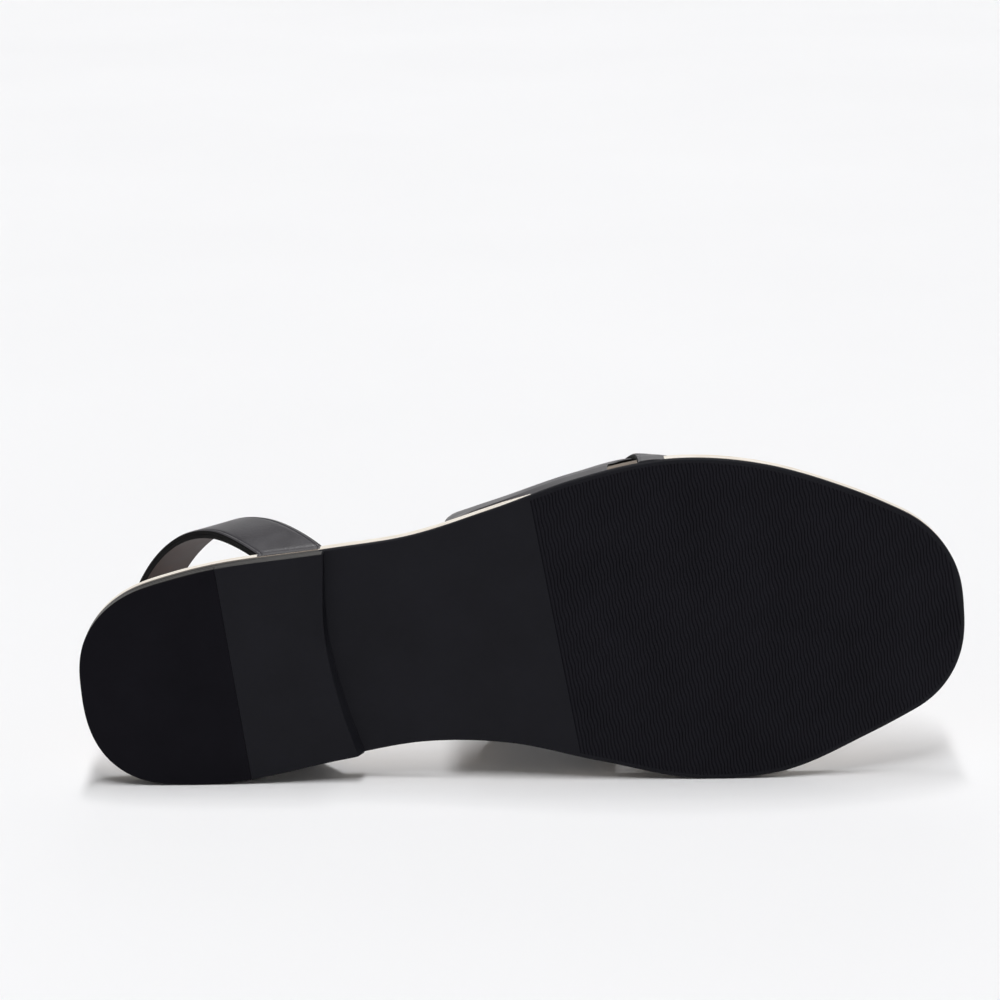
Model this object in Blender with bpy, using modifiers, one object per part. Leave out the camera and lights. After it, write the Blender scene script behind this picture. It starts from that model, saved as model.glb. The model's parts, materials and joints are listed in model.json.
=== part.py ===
# Cross-strap sandal for the right foot, lying on its medial side.
# Every piece is worked out in the shoe's own frame: x from heel to toe, +y to the medial
# side and z up from the ground that the sole would stand on. An empty then lays it down.

from collections import namedtuple
import math

import bmesh
import bpy
import numpy as np
from mathutils import Matrix, Vector

MM = 0.001
LATERAL = -1
MEDIAL = 1

# Driving sizes, in metres
SOLE_LENGTH = 0.261
OUTSOLE_THICK = 0.0018
INSOLE_THICK = 0.0048
INSOLE_INSET = 0.0002
HEEL_HEIGHT = 0.0038
TOE_SPRING = 0.008
TOP_PIECE_THICK = 0.0020
TOP_PIECE_FRONT = 0.045
TOP_PIECE_SLANT = 0.066    # how far its front edge runs forward for each unit to the medial side
STRAP_THICK = 0.0022
STRAP_LAP = 0.0009        # how far the upper strap is sunk into the lower one where they are joined
GAP = 0.0003              # clearance between pieces that touch
EDGE_ROUND = 0.0006

# Round ends of the sole, as superellipses
HEEL_ROUND = 0.0244
HEEL_POWER = 2.6
TOE_ROUND = 0.0177
TOE_POWER = 2.7

# Where the sole's bottom leaves the heel, meets the ground and lifts towards the toe
WAIST_START = 0.080
FLAT_START = 0.150
FLAT_END = 0.196

# Plan of the sole before its ends are rounded: half widths from the heel-to-toe line, in mm
Plan = namedtuple("Plan", "name x lateral medial")
PLAN = (
    Plan("heel end", 0, 23.8, 28.4),
    Plan("heel seat", 40, 32.5, 32.7),
    Plan("heel breast", 75, 34.7, 28.4),
    Plan("waist", 100, 36.8, 25.9),
    Plan("instep", 125, 43.1, 28.1),
    Plan("joint", 150, 50.2, 35.4),
    Plan("ball", 180, 53.8, 43.5),
    Plan("toe root", 205, 49.8, 43.1),
    Plan("toes", 230, 39.6, 34.7),
    Plan("toe end", 261, 21.3, 22.0),
)

# Heel breast: where the heel block ends along the foot, by distance from the middle, in mm
Breast = namedtuple("Breast", "name x front")
BREAST = (
    Breast("lateral corner", -36, 75.0),
    Breast("scoop", -9, 73.0),
    Breast("medial side", 14, 76.0),
    Breast("medial corner", 30, 80.0),
)
BREAST_SLOPE = 0.0015     # how much further forward the breast reaches at the top of the heel

# The last: its height over the footbed and the rim of footbed left beside it, in mm, and how
# square its sections are (2 is an ellipse)
Last = namedtuple("Last", "name x height rim square")
LAST = (
    Last("throat", 95, 62, 2.3, 2.2),
    Last("instep", 125, 53, 1.2, 2.2),
    Last("joint", 150, 47, 1.2, 2.3),
    Last("ball rear", 168, 40, 1.5, 2.6),
    Last("ball", 182, 35, 4.0, 2.2),
    Last("toes", 215, 27, 3.0, 2.3),
)

# Crossing straps: middle and half length of each end along the footbed's edge, in mm
Strap = namedtuple("Strap", "name lateral lateral_half medial medial_half lift")
UNDER_STRAP = Strap("under", 139.5, 29, 189, 17, 0.0)
OVER_STRAP = Strap("over", 186.5, 17, 134, 21, STRAP_THICK - STRAP_LAP)
LIFT_START = 0.0          # share of the girth at which the over strap starts to climb
LIFT_END = 0.06           # and at which it lies on the under strap

# Heel strap: a flat band bent into a loop that lies in one sloping plane
LOOP_WIDTH = 0.0157
LOOP_THICK = 0.0022
LOOP_RIM = 0.0012         # footbed edge left outside its ends
LOOP_SLOPE_DEG = 50.2
LOOP_BASE = 0.0670        # where its middle enters the footbed
LOOP_REACH = 0.078        # up the slope, from the footbed to the back of the heel
LOOP_BULGE = {LATERAL: 0.0109, MEDIAL: 0.0125}    # how far its sides swell out below the back
LOOP_SHIFT = 0.0022       # how far its back lies to the lateral side
LOOP_FLARE = 0.0028       # how much further its upper edge swells than its lower
LOOP_POWER = 1.7          # 1 closes its sides as an ellipse does, more closes them sooner

# How finely curves are divided
END_STATIONS = 10
FIRST_STATION_DEG = 4
MIDDLE_STATIONS = 28
BREAST_POINTS = 9
STRAP_ROWS = 30
STRAP_COLUMNS = 6
LOOP_ROWS = 44
LOOP_COLUMNS = 3
SLOT_COLUMNS = 8
CORNER_STEPS = 4          # rounds of working out where the breast meets the sole's edge
SHARP_DEG = 35            # folds sharper than this are shaded as edges
ROUND_FROM_DEG = 50       # folds sharper than this are rounded

# Colour, roughness and density (kg per cubic metre) of each material
Finish = namedtuple("Finish", "colour roughness density")
FINISHES = {
    "black rubber": Finish((0.012, 0.012, 0.014, 1), 0.62, 1150),
    "black heel stack": Finish((0.020, 0.019, 0.019, 1), 0.45, 1000),
    "wear rubber": Finish((0.009, 0.009, 0.011, 1), 0.75, 1200),
    "natural leather": Finish((0.62, 0.50, 0.36, 1), 0.60, 900),
    "black leather": Finish((0.020, 0.020, 0.021, 1), 0.48, 900),
}


def smooth(rows, column, x):
    """Cubic curve through one column of a table, read at x."""
    at = np.array([row.x for row in rows]) * MM
    value = np.array([getattr(row, column) for row in rows]) * MM
    slope = np.gradient(value, at)
    i = np.clip(np.searchsorted(at, x) - 1, 0, len(at) - 2)
    span = at[i + 1] - at[i]
    t = (x - at[i]) / span
    rise = t * t * (3 - 2 * t)
    start = (t - 2 * t**2 + t**3) * span * slope[i]
    finish = (t**3 - t**2) * span * slope[i + 1]
    return value[i] + rise * (value[i + 1] - value[i]) + start + finish


def smooth_step(start, end, x):
    """Rises from 0 at start to 1 at end, level at both."""
    t = np.clip((x - start) / (end - start), 0, 1)
    return t * t * (3 - 2 * t)


def end_round(x):
    """Share of the full width that the round heel and the round toe leave at x."""
    heel = np.clip(1 - x / HEEL_ROUND, 0, 1)
    toe = np.clip(1 - (SOLE_LENGTH - x) / TOE_ROUND, 0, 1)
    return (1 - heel**HEEL_POWER) ** (1 / HEEL_POWER) * (1 - toe**TOE_POWER) ** (1 / TOE_POWER)


def edge(x, side, inset=0.0):
    """The sole's edge at x, as y, on its lateral or medial side."""
    column = "medial" if side == MEDIAL else "lateral"
    return side * (smooth(PLAN, column, x) * end_round(x) - inset)


def outsole_bottom(x):
    """Height of the outsole's underside: heel seat, waist, flat forefoot and toe spring."""
    heel = HEEL_HEIGHT * (1 - smooth_step(WAIST_START, FLAT_START, x))
    toe = np.clip((x - FLAT_END) / (SOLE_LENGTH - FLAT_END), 0, 1)
    return heel + TOE_SPRING * toe**2


def outsole_top(x):
    return outsole_bottom(x) + OUTSOLE_THICK


def footbed(x):
    """Height of the insole's upper face."""
    return outsole_top(x) + GAP + INSOLE_THICK


def sole_stations():
    """Places along the sole for its sections, close together round heel and toe."""
    first_angle = math.radians(FIRST_STATION_DEG)
    angles = np.linspace(first_angle, math.pi / 2, END_STATIONS)[:-1]
    heel = HEEL_ROUND * (1 - np.cos(angles) ** (2 / HEEL_POWER))
    toe = SOLE_LENGTH - TOE_ROUND * (1 - np.cos(angles) ** (2 / TOE_POWER))
    middle = np.linspace(HEEL_ROUND, SOLE_LENGTH - TOE_ROUND, MIDDLE_STATIONS)
    return np.concatenate([heel, middle, toe[::-1]])


def strap_line(x, side):
    """Middle of a crossing strap's wall where it enters the footbed, as y."""
    return edge(x, side, smooth(LAST, "rim", x) + STRAP_THICK / 2)


def loop_line(x, side):
    """Middle of the heel strap's wall where it enters the footbed, as y."""
    return edge(x, side, LOOP_RIM + LOOP_THICK / 2)


def last_point(x, girth, lift=0.0):
    """A point on the last: girth 0 is the lateral footbed edge, 1 the medial, and between over the foot."""
    angle = math.pi * girth
    power = 2 * MM / smooth(LAST, "square", x)
    reach = abs(math.cos(angle)) ** power
    rise = max(math.sin(angle), 0.0) ** power
    side = LATERAL if girth < 0.5 else MEDIAL
    half_width = abs(strap_line(x, side)) + lift
    height = smooth(LAST, "height", x) + lift
    return Vector((x, side * half_width * reach, footbed(x) + height * rise))


def new_object(name, mesh, finish, collection):
    """Object from a bmesh, with its own material."""
    data = bpy.data.meshes.new(name)
    bmesh.ops.recalc_face_normals(mesh, faces=mesh.faces)
    mesh.to_mesh(data)
    mesh.free()
    data.shade_smooth()
    data.set_sharp_from_angle(angle=math.radians(SHARP_DEG))
    obj = bpy.data.objects.new(name, data)
    collection.objects.link(obj)
    if finish:
        material = bpy.data.materials.new(name)
        material.use_nodes = True
        shader = material.node_tree.nodes["Principled BSDF"]
        shader.inputs["Base Color"].default_value = FINISHES[finish].colour
        shader.inputs["Roughness"].default_value = FINISHES[finish].roughness
        shader.inputs["Metallic"].default_value = 0.0
        data.materials.append(material)
        obj["density"] = FINISHES[finish].density
    return obj


def new_cutter(name, mesh, collection):
    cutter = new_object(name, mesh, None, collection)
    cutter.hide_render = True
    cutter.display_type = "WIRE"
    return cutter


def loft(sections):
    """Closed body through a list of sections that have the same number of corners."""
    mesh = bmesh.new()
    rings = [[mesh.verts.new(point) for point in section] for section in sections]
    for near, far in zip(rings, rings[1:]):
        for k in range(len(near)):
            mesh.faces.new((near[k], near[k - 1], far[k - 1], far[k]))
    mesh.faces.new(rings[0])
    mesh.faces.new(rings[-1][::-1])
    return mesh


def sheet(rows, columns, shape):
    """Open grid whose points follow shape(along, across), both from 0 to 1."""
    mesh = bmesh.new()
    bmesh.ops.create_grid(mesh, x_segments=rows, y_segments=columns, size=0.5)
    for vert in mesh.verts:
        vert.co = shape(vert.co.x + 0.5, vert.co.y + 0.5)
    return mesh


def thicken(obj, thickness):
    """Gives an open sheet its wall, half to each side."""
    wall = obj.modifiers.new("wall", "SOLIDIFY")
    wall.thickness = thickness
    wall.offset = 0
    wall.use_even_offset = True


def round_edges(obj, width, segments=2):
    bevel = obj.modifiers.new("round edges", "BEVEL")
    bevel.width = width
    bevel.segments = segments
    bevel.limit_method = "ANGLE"
    bevel.angle_limit = math.radians(ROUND_FROM_DEG)


def combine(obj, other, operation):
    boolean = obj.modifiers.new(other.name, "BOOLEAN")
    boolean.object = other
    boolean.operation = operation
    boolean.solver = "EXACT"


def sole_layer(under, thickness, inset):
    """Full-length layer of the sole on the height under(x), one four-cornered section a station."""
    sections = []
    for x in sole_stations():
        inner_x = inset + x * (1 - 2 * inset / SOLE_LENGTH)
        medial = edge(x, MEDIAL, inset * end_round(x))
        lateral = edge(x, LATERAL, inset * end_round(x))
        low = under(x)
        high = low + thickness
        sections.append([
            (inner_x, medial, low),
            (inner_x, lateral, low),
            (inner_x, lateral, high),
            (inner_x, medial, high),
        ])
    return loft(sections)


def make_outsole(parts):
    outsole = new_object("outsole", sole_layer(outsole_bottom, OUTSOLE_THICK, 0.0), "black rubber", parts)
    round_edges(outsole, EDGE_ROUND)


def across_heel(line, count):
    """Points x, y from the medial to the lateral edge of the heel, on a line that gives x by y."""
    corners = []
    for side in (MEDIAL, LATERAL):
        y = edge(line(0.0), side)
        for _ in range(CORNER_STEPS):    # the corner lies on the sole's edge and on the line
            y = edge(line(y), side)
        corners.append(y)
    return [(line(y), y) for y in np.linspace(corners[0], corners[1], count)]


def breast_front(y):
    return smooth(BREAST, "front", y)


def top_piece_front(y):
    return TOP_PIECE_FRONT + TOP_PIECE_SLANT * y


def heel_outline(front):
    """The heel's outline, closed by the points of front, which run from medial to lateral."""
    back = [x for x in sole_stations() if x < front[0][0] - MM]
    lateral_back = [x for x in back if x < front[-1][0] - MM]
    lateral = [(x, edge(x, LATERAL)) for x in reversed(lateral_back)]
    medial = [(x, edge(x, MEDIAL)) for x in back]
    return lateral + medial + list(front)


def make_heel(parts, cutters):
    """Heel block with the wear piece let into the rear of its bottom."""
    front = across_heel(breast_front, BREAST_POINTS)
    outline = heel_outline(front)
    sections = []
    for z, slope in ((0.0, 0.0), (HEEL_HEIGHT - GAP, BREAST_SLOPE)):
        rear = [(x, y, z) for x, y in outline[:-len(front)]]
        sections.append(rear + [(x + slope, y, z) for x, y in front])
    block = new_object("heel_block", loft(sections), "black heel stack", parts)
    round_edges(block, EDGE_ROUND / 2, segments=1)

    depth = TOP_PIECE_THICK + GAP
    reach = SOLE_LENGTH / 2
    corners = [(-reach, reach), (-reach, -reach)]
    corners += [(top_piece_front(y) + GAP, y) for y in (-reach, reach)]
    recess = loft([[(x, y, z) for x, y in corners] for z in (-depth, depth)])
    combine(block, new_cutter("top_piece_recess", recess, cutters), "DIFFERENCE")

    rear_outline = heel_outline(across_heel(top_piece_front, 2))
    flat = [[(x, y, z) for x, y in rear_outline] for z in (0.0, TOP_PIECE_THICK)]
    top_piece = new_object("heel_top_piece", loft(flat), "wear rubber", parts)
    round_edges(top_piece, EDGE_ROUND / 2, segments=1)


def cross_strap_shape(strap):
    """Surface of one crossing strap: along runs lateral to medial, across runs rear to front."""
    def shape(along, across):
        girth = np.clip((along * (STRAP_ROWS + 2) - 1) / STRAP_ROWS, 0, 1)
        ease = smooth_step(0, 1, girth)    # each strap leaves the footbed square to its edge
        middle = strap.lateral + (strap.medial - strap.lateral) * ease
        half = strap.lateral_half + (strap.medial_half - strap.lateral_half) * ease
        x = (middle + half * (2 * across - 1)) * MM
        from_end = min(girth, 1 - girth)
        point = last_point(x, girth, strap.lift * smooth_step(LIFT_START, LIFT_END, from_end))
        if along in (0.0, 1.0):    # the two ends reach through the footbed to the outsole
            point.z = outsole_top(x) + GAP
        return point
    return shape


def make_cross_straps(parts, cutters):
    """The upper: two straps over the forefoot, joined where they cross."""
    rows = STRAP_ROWS + 2
    under = new_object("cross_straps", sheet(rows, STRAP_COLUMNS, cross_strap_shape(UNDER_STRAP)),
                       "black leather", parts)
    thicken(under, STRAP_THICK)
    over = new_cutter("over_strap", sheet(rows, STRAP_COLUMNS, cross_strap_shape(OVER_STRAP)), cutters)
    thicken(over, STRAP_THICK)
    combine(under, over, "UNION")


def loop_shape(along, across):
    """Surface of the heel strap: along runs lateral to medial, across from its lower to its upper edge."""
    slope = math.radians(LOOP_SLOPE_DEG)
    offset = LOOP_WIDTH * (across - 0.5)
    share = np.clip((along * (LOOP_ROWS + 2) - 1) / LOOP_ROWS, 0, 1)
    side = LATERAL if share < 0.5 else MEDIAL
    angle = math.pi * min(share, 1 - share)
    # near the footbed the band is mitred, so that its ends lie level
    mitre = -offset / math.tan(slope) * math.cos(angle) ** 2
    up = LOOP_REACH * math.sin(angle) + mitre
    y = loop_line(LOOP_BASE, side) * max(math.cos(angle), 0.0) ** LOOP_POWER
    bulge = LOOP_BULGE[side] + LOOP_FLARE * (across - 0.5)
    y += side * bulge * math.sin(2 * angle) + LATERAL * LOOP_SHIFT * math.sin(angle)
    x = LOOP_BASE - up * math.cos(slope) + offset * math.sin(slope)
    z = footbed(LOOP_BASE) + up * math.sin(slope) + offset * math.cos(slope)
    if share in (0.0, 1.0):    # the ends follow the footbed's edge, down to the outsole
        y = loop_line(x, side)
        z = footbed(x) if along not in (0.0, 1.0) else outsole_top(x) + GAP
    return Vector((x, y, z))


def make_heel_strap(parts):
    strap = new_object("heel_strap", sheet(LOOP_ROWS + 2, LOOP_COLUMNS, loop_shape), "black leather", parts)
    thicken(strap, LOOP_THICK)


def strap_ends():
    """Every place where a strap enters the footbed: its line, wall, side, rear and front."""
    half_loop = LOOP_WIDTH / 2 / math.sin(math.radians(LOOP_SLOPE_DEG))
    for side in (LATERAL, MEDIAL):
        yield loop_line, LOOP_THICK, side, LOOP_BASE - half_loop, LOOP_BASE + half_loop
        for strap in (UNDER_STRAP, OVER_STRAP):
            middle = (strap.lateral if side == LATERAL else strap.medial) * MM
            half = (strap.lateral_half if side == LATERAL else strap.medial_half) * MM
            yield strap_line, STRAP_THICK, side, middle - half, middle + half


def make_insole(parts, cutters):
    """Footbed with a slot for each strap end."""
    def under(x):
        return outsole_top(x) + GAP
    insole = new_object("insole", sole_layer(under, INSOLE_THICK, INSOLE_INSET), "natural leather", parts)
    round_edges(insole, EDGE_ROUND)
    for number, (line, wall, side, rear, front) in enumerate(strap_ends()):
        def slot_shape(along, across, line=line, side=side, rear=rear, front=front):
            x = rear - GAP + (front - rear + 2 * GAP) * along
            z = outsole_top(x) + (INSOLE_THICK + GAP) * (2 * across - 0.5)
            return Vector((x, line(x, side), z))
        slot = new_cutter(f"slot_{number}", sheet(SLOT_COLUMNS, 1, slot_shape), cutters)
        thicken(slot, wall + 2 * GAP)
        combine(insole, slot, "DIFFERENCE")


def solid_points(obj, depsgraph):
    """Corner points and triangles of a finished object."""
    mesh = obj.evaluated_get(depsgraph).to_mesh()
    mesh.calc_loop_triangles()
    points = np.array([vert.co for vert in mesh.vertices])
    triangles = np.array([triangle.vertices for triangle in mesh.loop_triangles])
    return points, triangles


def mass_centre(solids):
    """Centre of mass of solids given as points, triangles and density."""
    total = 0.0
    moment = np.zeros(3)
    for points, triangles, density in solids:
        a, b, c = (points[triangles[:, k]] for k in range(3))
        mass = density * np.einsum("ij,ij->i", a, np.cross(b, c)) / 6
        total += mass.sum()
        moment += (mass[:, None] * (a + b + c) / 4).sum(axis=0)
    return moment / total


def floor_normal(points, centre):
    """Upward normal of the floor when the shoe lies still on its medial side: the face of the
    hull that looks most to the medial side and has the centre of mass over it."""
    hull = bmesh.new()
    for point in points:
        hull.verts.new(point)
    bmesh.ops.convex_hull(hull, input=hull.verts)
    best = None
    for face in hull.faces:
        normal = face.normal
        foot = centre + normal * normal.dot(face.verts[0].co - centre)
        corners = [vert.co for vert in face.verts]
        inside = all((b - a).cross(foot - a).dot(normal) >= 0
                     for a, b in zip(corners, corners[1:] + corners[:1]))
        if inside and (best is None or normal.y > best.y):
            best = normal.copy()
    hull.free()
    return -best


def lay_down(parts, cutters):
    """Parents pieces and cutters to an empty that lays the sandal on its medial side, sole towards
    -y, toe towards +x, standing on z = 0 with the middle of its box over the origin."""
    bpy.context.view_layer.update()
    depsgraph = bpy.context.evaluated_depsgraph_get()
    pieces = list(parts.objects)
    solids = [(*solid_points(obj, depsgraph), obj["density"]) for obj in pieces]
    points = np.concatenate([solid[0] for solid in solids])
    up = floor_normal(points, Vector(mass_centre(solids)))
    along = (Vector((1, 0, 0)) - up * up.x).normalized()
    turn = np.array([along, up.cross(along), up])
    lying = points @ turn.T
    low, high = lying.min(axis=0), lying.max(axis=0)
    shift = Vector((-(low[0] + high[0]) / 2, -(low[1] + high[1]) / 2, -low[2]))
    frame = bpy.data.objects.new("lying_frame", None)
    parts.objects.link(frame)
    frame.matrix_world = Matrix.Translation(shift) @ Matrix(turn).to_4x4()
    for obj in pieces + list(cutters.objects):
        obj.parent = frame


def main():
    for obj in list(bpy.data.objects):
        bpy.data.objects.remove(obj)
    parts = bpy.data.collections.new("cross_strap_sandal")
    cutters = bpy.data.collections.new("cutters")
    for collection in (parts, cutters):
        bpy.context.scene.collection.children.link(collection)
    make_outsole(parts)
    make_heel(parts, cutters)
    make_insole(parts, cutters)
    make_cross_straps(parts, cutters)
    make_heel_strap(parts)
    lay_down(parts, cutters)


main()
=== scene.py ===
import json
import math

import bmesh
import bpy
import numpy as np
from mathutils import Matrix


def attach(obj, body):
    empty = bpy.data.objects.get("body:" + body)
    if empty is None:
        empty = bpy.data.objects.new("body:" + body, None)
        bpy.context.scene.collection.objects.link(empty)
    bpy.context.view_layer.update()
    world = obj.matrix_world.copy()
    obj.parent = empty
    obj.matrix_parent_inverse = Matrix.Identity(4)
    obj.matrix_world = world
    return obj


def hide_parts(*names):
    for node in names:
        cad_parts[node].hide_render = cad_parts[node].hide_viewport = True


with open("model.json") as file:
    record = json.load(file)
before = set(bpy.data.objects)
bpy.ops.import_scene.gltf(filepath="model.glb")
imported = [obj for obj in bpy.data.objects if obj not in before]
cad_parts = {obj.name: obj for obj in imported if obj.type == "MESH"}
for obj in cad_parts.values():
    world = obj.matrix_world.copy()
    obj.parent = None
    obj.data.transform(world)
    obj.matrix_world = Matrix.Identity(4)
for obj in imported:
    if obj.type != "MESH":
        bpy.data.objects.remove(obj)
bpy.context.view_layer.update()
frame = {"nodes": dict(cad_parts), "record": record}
print("frame loaded:", ", ".join(sorted(frame["nodes"])))

# Every piece is worked out on the standing shoe: x from heel to toe, +y to the medial side, z up.
# The two resting faces in the record say where that shoe lies.
lateral = -1
medial = 1
mm = 0.001
restingFaces = {mount["name"]: mount for mount in frame["record"]["mounts"]}
heelFaceX = 0.022    # how far the heel's resting point is from the back of the heel
leastLength = 1e-12  # that is divided by


def unit(vectors):
    # vectors divided by their lengths
    return vectors / np.maximum(np.linalg.norm(vectors, axis=-1, keepdims=True), leastLength)


heelPoint = np.array(restingFaces["heel_bottom"]["pos_m"])
toeAxis = unit(np.array(restingFaces["forefoot_bottom"]["pos_m"]) - heelPoint)
upAxis = -unit(np.array(restingFaces["heel_bottom"]["axis"]))
shoeAxes = np.stack([toeAxis, unit(np.cross(upAxis, toeAxis)), upAxis])
shoeOrigin = heelPoint - heelFaceX * toeAxis


def lieDown(points):
    # a point of the standing shoe, carried along the shoe's three axes from its origin
    return points @ shoeAxes + shoeOrigin


# Shape of the sole

soleShape = {
    "length": 0.261,
    "heelRound": 0.0244, "heelPower": 2.6,    # round ends, as superellipses
    "toeRound": 0.0177, "toePower": 2.7,
    "heelHeight": 0.0038, "toeSpring": 0.008,
    "waistStart": 0.080, "flatStart": 0.150, "flatEnd": 0.196,
    "outsoleThick": 0.0018, "insoleThick": 0.0048,
    "gap": 0.0003,    # between pieces that are glued face to face
    "endPoints": 90, "sidePoints": 300,    # of the outline, round each end and along each side
    "endRows": 40, "endCrowd": 2.2, "endLength": 0.030,    # rows of a mesh that draw towards a round end
}
# x, lateral half width and medial half width, before the ends are rounded
planTable = mm * np.array([
    (0, 23.8, 28.4), (40, 32.5, 32.7), (75, 34.7, 28.4), (100, 36.8, 25.9), (125, 43.1, 28.1),
    (150, 50.2, 35.4), (180, 53.8, 43.5), (205, 49.8, 43.1), (230, 39.6, 34.7), (261, 21.3, 22.0),
])


def curveThrough(table, column, x):
    # cubic through one column of a table: each span is eased between its ends, with slopes from
    # the neighbouring rows
    at, value = table[:, 0], table[:, column]
    slope = np.gradient(value, at)
    i = np.clip(np.searchsorted(at, x) - 1, 0, len(at) - 2)
    span = at[i + 1] - at[i]
    t = (x - at[i]) / span
    eased = value[i] + t * t * (3 - 2 * t) * (value[i + 1] - value[i])
    return eased + span * ((t - 2 * t**2 + t**3) * slope[i] + (t**3 - t**2) * slope[i + 1])


def smoothStep(start, end, x):
    # 0 before start, 1 after end, and 3t2 - 2t3 between
    t = np.clip((x - start) / (end - start), 0, 1)
    return t * t * (3 - 2 * t)


def soleEdge(x, side, inset=0.0):
    # half width from the table times the two superellipse ends, less the inset, to that side
    s = soleShape
    heel = np.clip(1 - x / s["heelRound"], 0, 1)
    toe = np.clip(1 - (s["length"] - x) / s["toeRound"], 0, 1)
    ends = (1 - heel**s["heelPower"])**(1 / s["heelPower"]) * (1 - toe**s["toePower"])**(1 / s["toePower"])
    half = np.where(np.greater(side, 0), curveThrough(planTable, 2, x), curveThrough(planTable, 1, x))
    return side * (half * ends - inset)


def outsoleBottom(x):
    # heel seat, easing down through the waist to the flat forefoot, then a parabola up to the toe
    s = soleShape
    heel = s["heelHeight"] * (1 - smoothStep(s["waistStart"], s["flatStart"], x))
    toe = np.clip((x - s["flatEnd"]) / (s["length"] - s["flatEnd"]), 0, 1)
    return heel + s["toeSpring"] * toe**2


def outsoleTop(x):
    # the bottom and the outsole's thickness
    return outsoleBottom(x) + soleShape["outsoleThick"]


def insoleBottom(x):
    # the top of the outsole and the glue
    return outsoleTop(x) + soleShape["gap"]


def footbed(x):
    # the insole's bottom and its thickness
    return insoleBottom(x) + soleShape["insoleThick"]


def outlineSides(inset, slant):
    # The sole's outline moved in along its normal, as a ring that is parted where the slanting cross
    # line x - slant * y is lowest and highest. Gives rows of (cross line, x, y) for each side.
    s = soleShape
    angle = np.linspace(0, math.pi / 2, s["endPoints"])
    heel = s["heelRound"] * (1 - np.cos(angle)**(2 / s["heelPower"]))
    toe = s["length"] - s["toeRound"] * (1 - np.cos(angle)**(2 / s["toePower"]))
    middle = np.linspace(s["heelRound"], s["length"] - s["toeRound"], s["sidePoints"])[1:-1]
    x = np.concatenate([heel, middle, toe[::-1]])
    lateralSide, medialSide = (np.stack([x, soleEdge(x, side)], 1) for side in (lateral, medial))
    ring = np.concatenate([lateralSide, medialSide[-2:0:-1]])
    along = unit(np.roll(ring, -1, 0) - np.roll(ring, 1, 0))
    ring = ring + inset * np.stack([-along[:, 1], along[:, 0]], 1)
    line = ring[:, 0] - slant * ring[:, 1]
    rows = np.roll(np.column_stack([line, ring]), -np.argmin(line), 0)
    last = np.argmax(rows[:, 0])
    sides = [rows[:last + 1], np.concatenate([rows[last:], rows[:1]])[::-1]]
    for rows in sides:
        rows[:, 0] = np.maximum.accumulate(rows[:, 0])
    return sides


bendRounds = 5


def crossPoints(side, stations, bend):
    # Where the cross lines meet one side, which is found anew a few times for bent lines: bend moves
    # a line along the foot by its place across it, and no line passes the tip of the side.
    x = np.interp(stations, side[:, 0], side[:, 1])
    y = np.interp(stations, side[:, 0], side[:, 2])
    for _ in range(bendRounds if bend else 0):
        x = np.clip(bend(stations, y), side[0, 0], side[-1, 0])
        y = np.interp(x, side[:, 0], side[:, 2])
    return np.stack([x, y], 1)


def slab(profile, stations, slant=0.0, faceColumns=12, hiddenColumns=12, bend=None):
    # An edge profile of (inset, height) carried round the sole's outline. Its rings are cut by the
    # cross lines at stations, the shown face lies between the two innermost rings and the hidden
    # face between the two outermost. Gives places in plan, heights, and the ring of each column.
    rings = [[crossPoints(side, stations, bend) for side in outlineSides(inset, slant)]
             for inset, _ in profile]
    left = np.stack([ring[0] for ring in rings], 1)
    right = np.stack([ring[1] for ring in rings], 1)
    share, hiddenShare = (np.linspace(0, 1, count + 2)[1:-1, None] for count in (faceColumns, hiddenColumns))
    face = left[:, -1:] + (right[:, -1:] - left[:, -1:]) * share
    hidden = right[:, :1] + (left[:, :1] - right[:, :1]) * hiddenShare
    if bend:
        for columns in (face, hidden):
            columns[..., 0] = np.maximum(bend(stations[:, None], columns[..., 1]), columns[0, 0, 0])
    plan = np.concatenate([left, face, right[:, ::-1], hidden], 1)
    edgeHeight = np.array([height for _, height in profile])
    height = np.concatenate([edgeHeight, np.full(faceColumns, edgeHeight[-1]), edgeHeight[::-1],
                             np.full(hiddenColumns, edgeHeight[0])])
    count = np.arange(len(profile))
    ring = np.concatenate([count, np.full(faceColumns, len(profile)), count[::-1],
                           np.full(hiddenColumns, -1)])
    return plan, height, ring


def outsideOf(ring, limit):
    # the columns of faces that lie outside a ring, which are the wall and the hidden face
    return np.minimum(ring, np.roll(ring, -1)) < limit


def roundedEdge(radius, inset, height, turn, steps=5):
    # quarter circle from the side wall, at inset, into the face at height; turn is 1 for a face
    # above and -1 for a face below
    angle = np.linspace(0, math.pi / 2, steps)
    return list(zip(inset + radius * (1 - np.cos(angle)), height - turn * radius * (1 - np.sin(angle))))


def evenRows(start, end, count, crowd=1):
    # places from start to end; crowd above 1 draws them towards start
    return start + (end - start) * np.linspace(0, 1, count)**crowd


def endRows(start, end):
    # rows from the tip of a round end, close together at first
    return evenRows(start, end, soleShape["endRows"], soleShape["endCrowd"])


# Meshes

mergeWithin, dropWithin = 4e-7, 1e-7    # metres: points made one, and edges taken to have no length


def gridFaces(rowCount, columnCount):
    # one quad for each step of row and column, with the last column joined to the first
    row, column = np.meshgrid(np.arange(rowCount - 1), np.arange(columnCount), indexing="ij")
    ahead = (column + 1) % columnCount
    quads = np.stack([row * columnCount + column, row * columnCount + ahead,
                      (row + 1) * columnCount + ahead, (row + 1) * columnCount + column], -1)
    return quads.reshape(-1, 4)


def closeEnd(points):
    # one more row, with every place at the middle of the grid's last row
    middle = points[-1].mean(axis=0)
    return np.concatenate([points, np.broadcast_to(middle, points[-1:].shape)])


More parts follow.
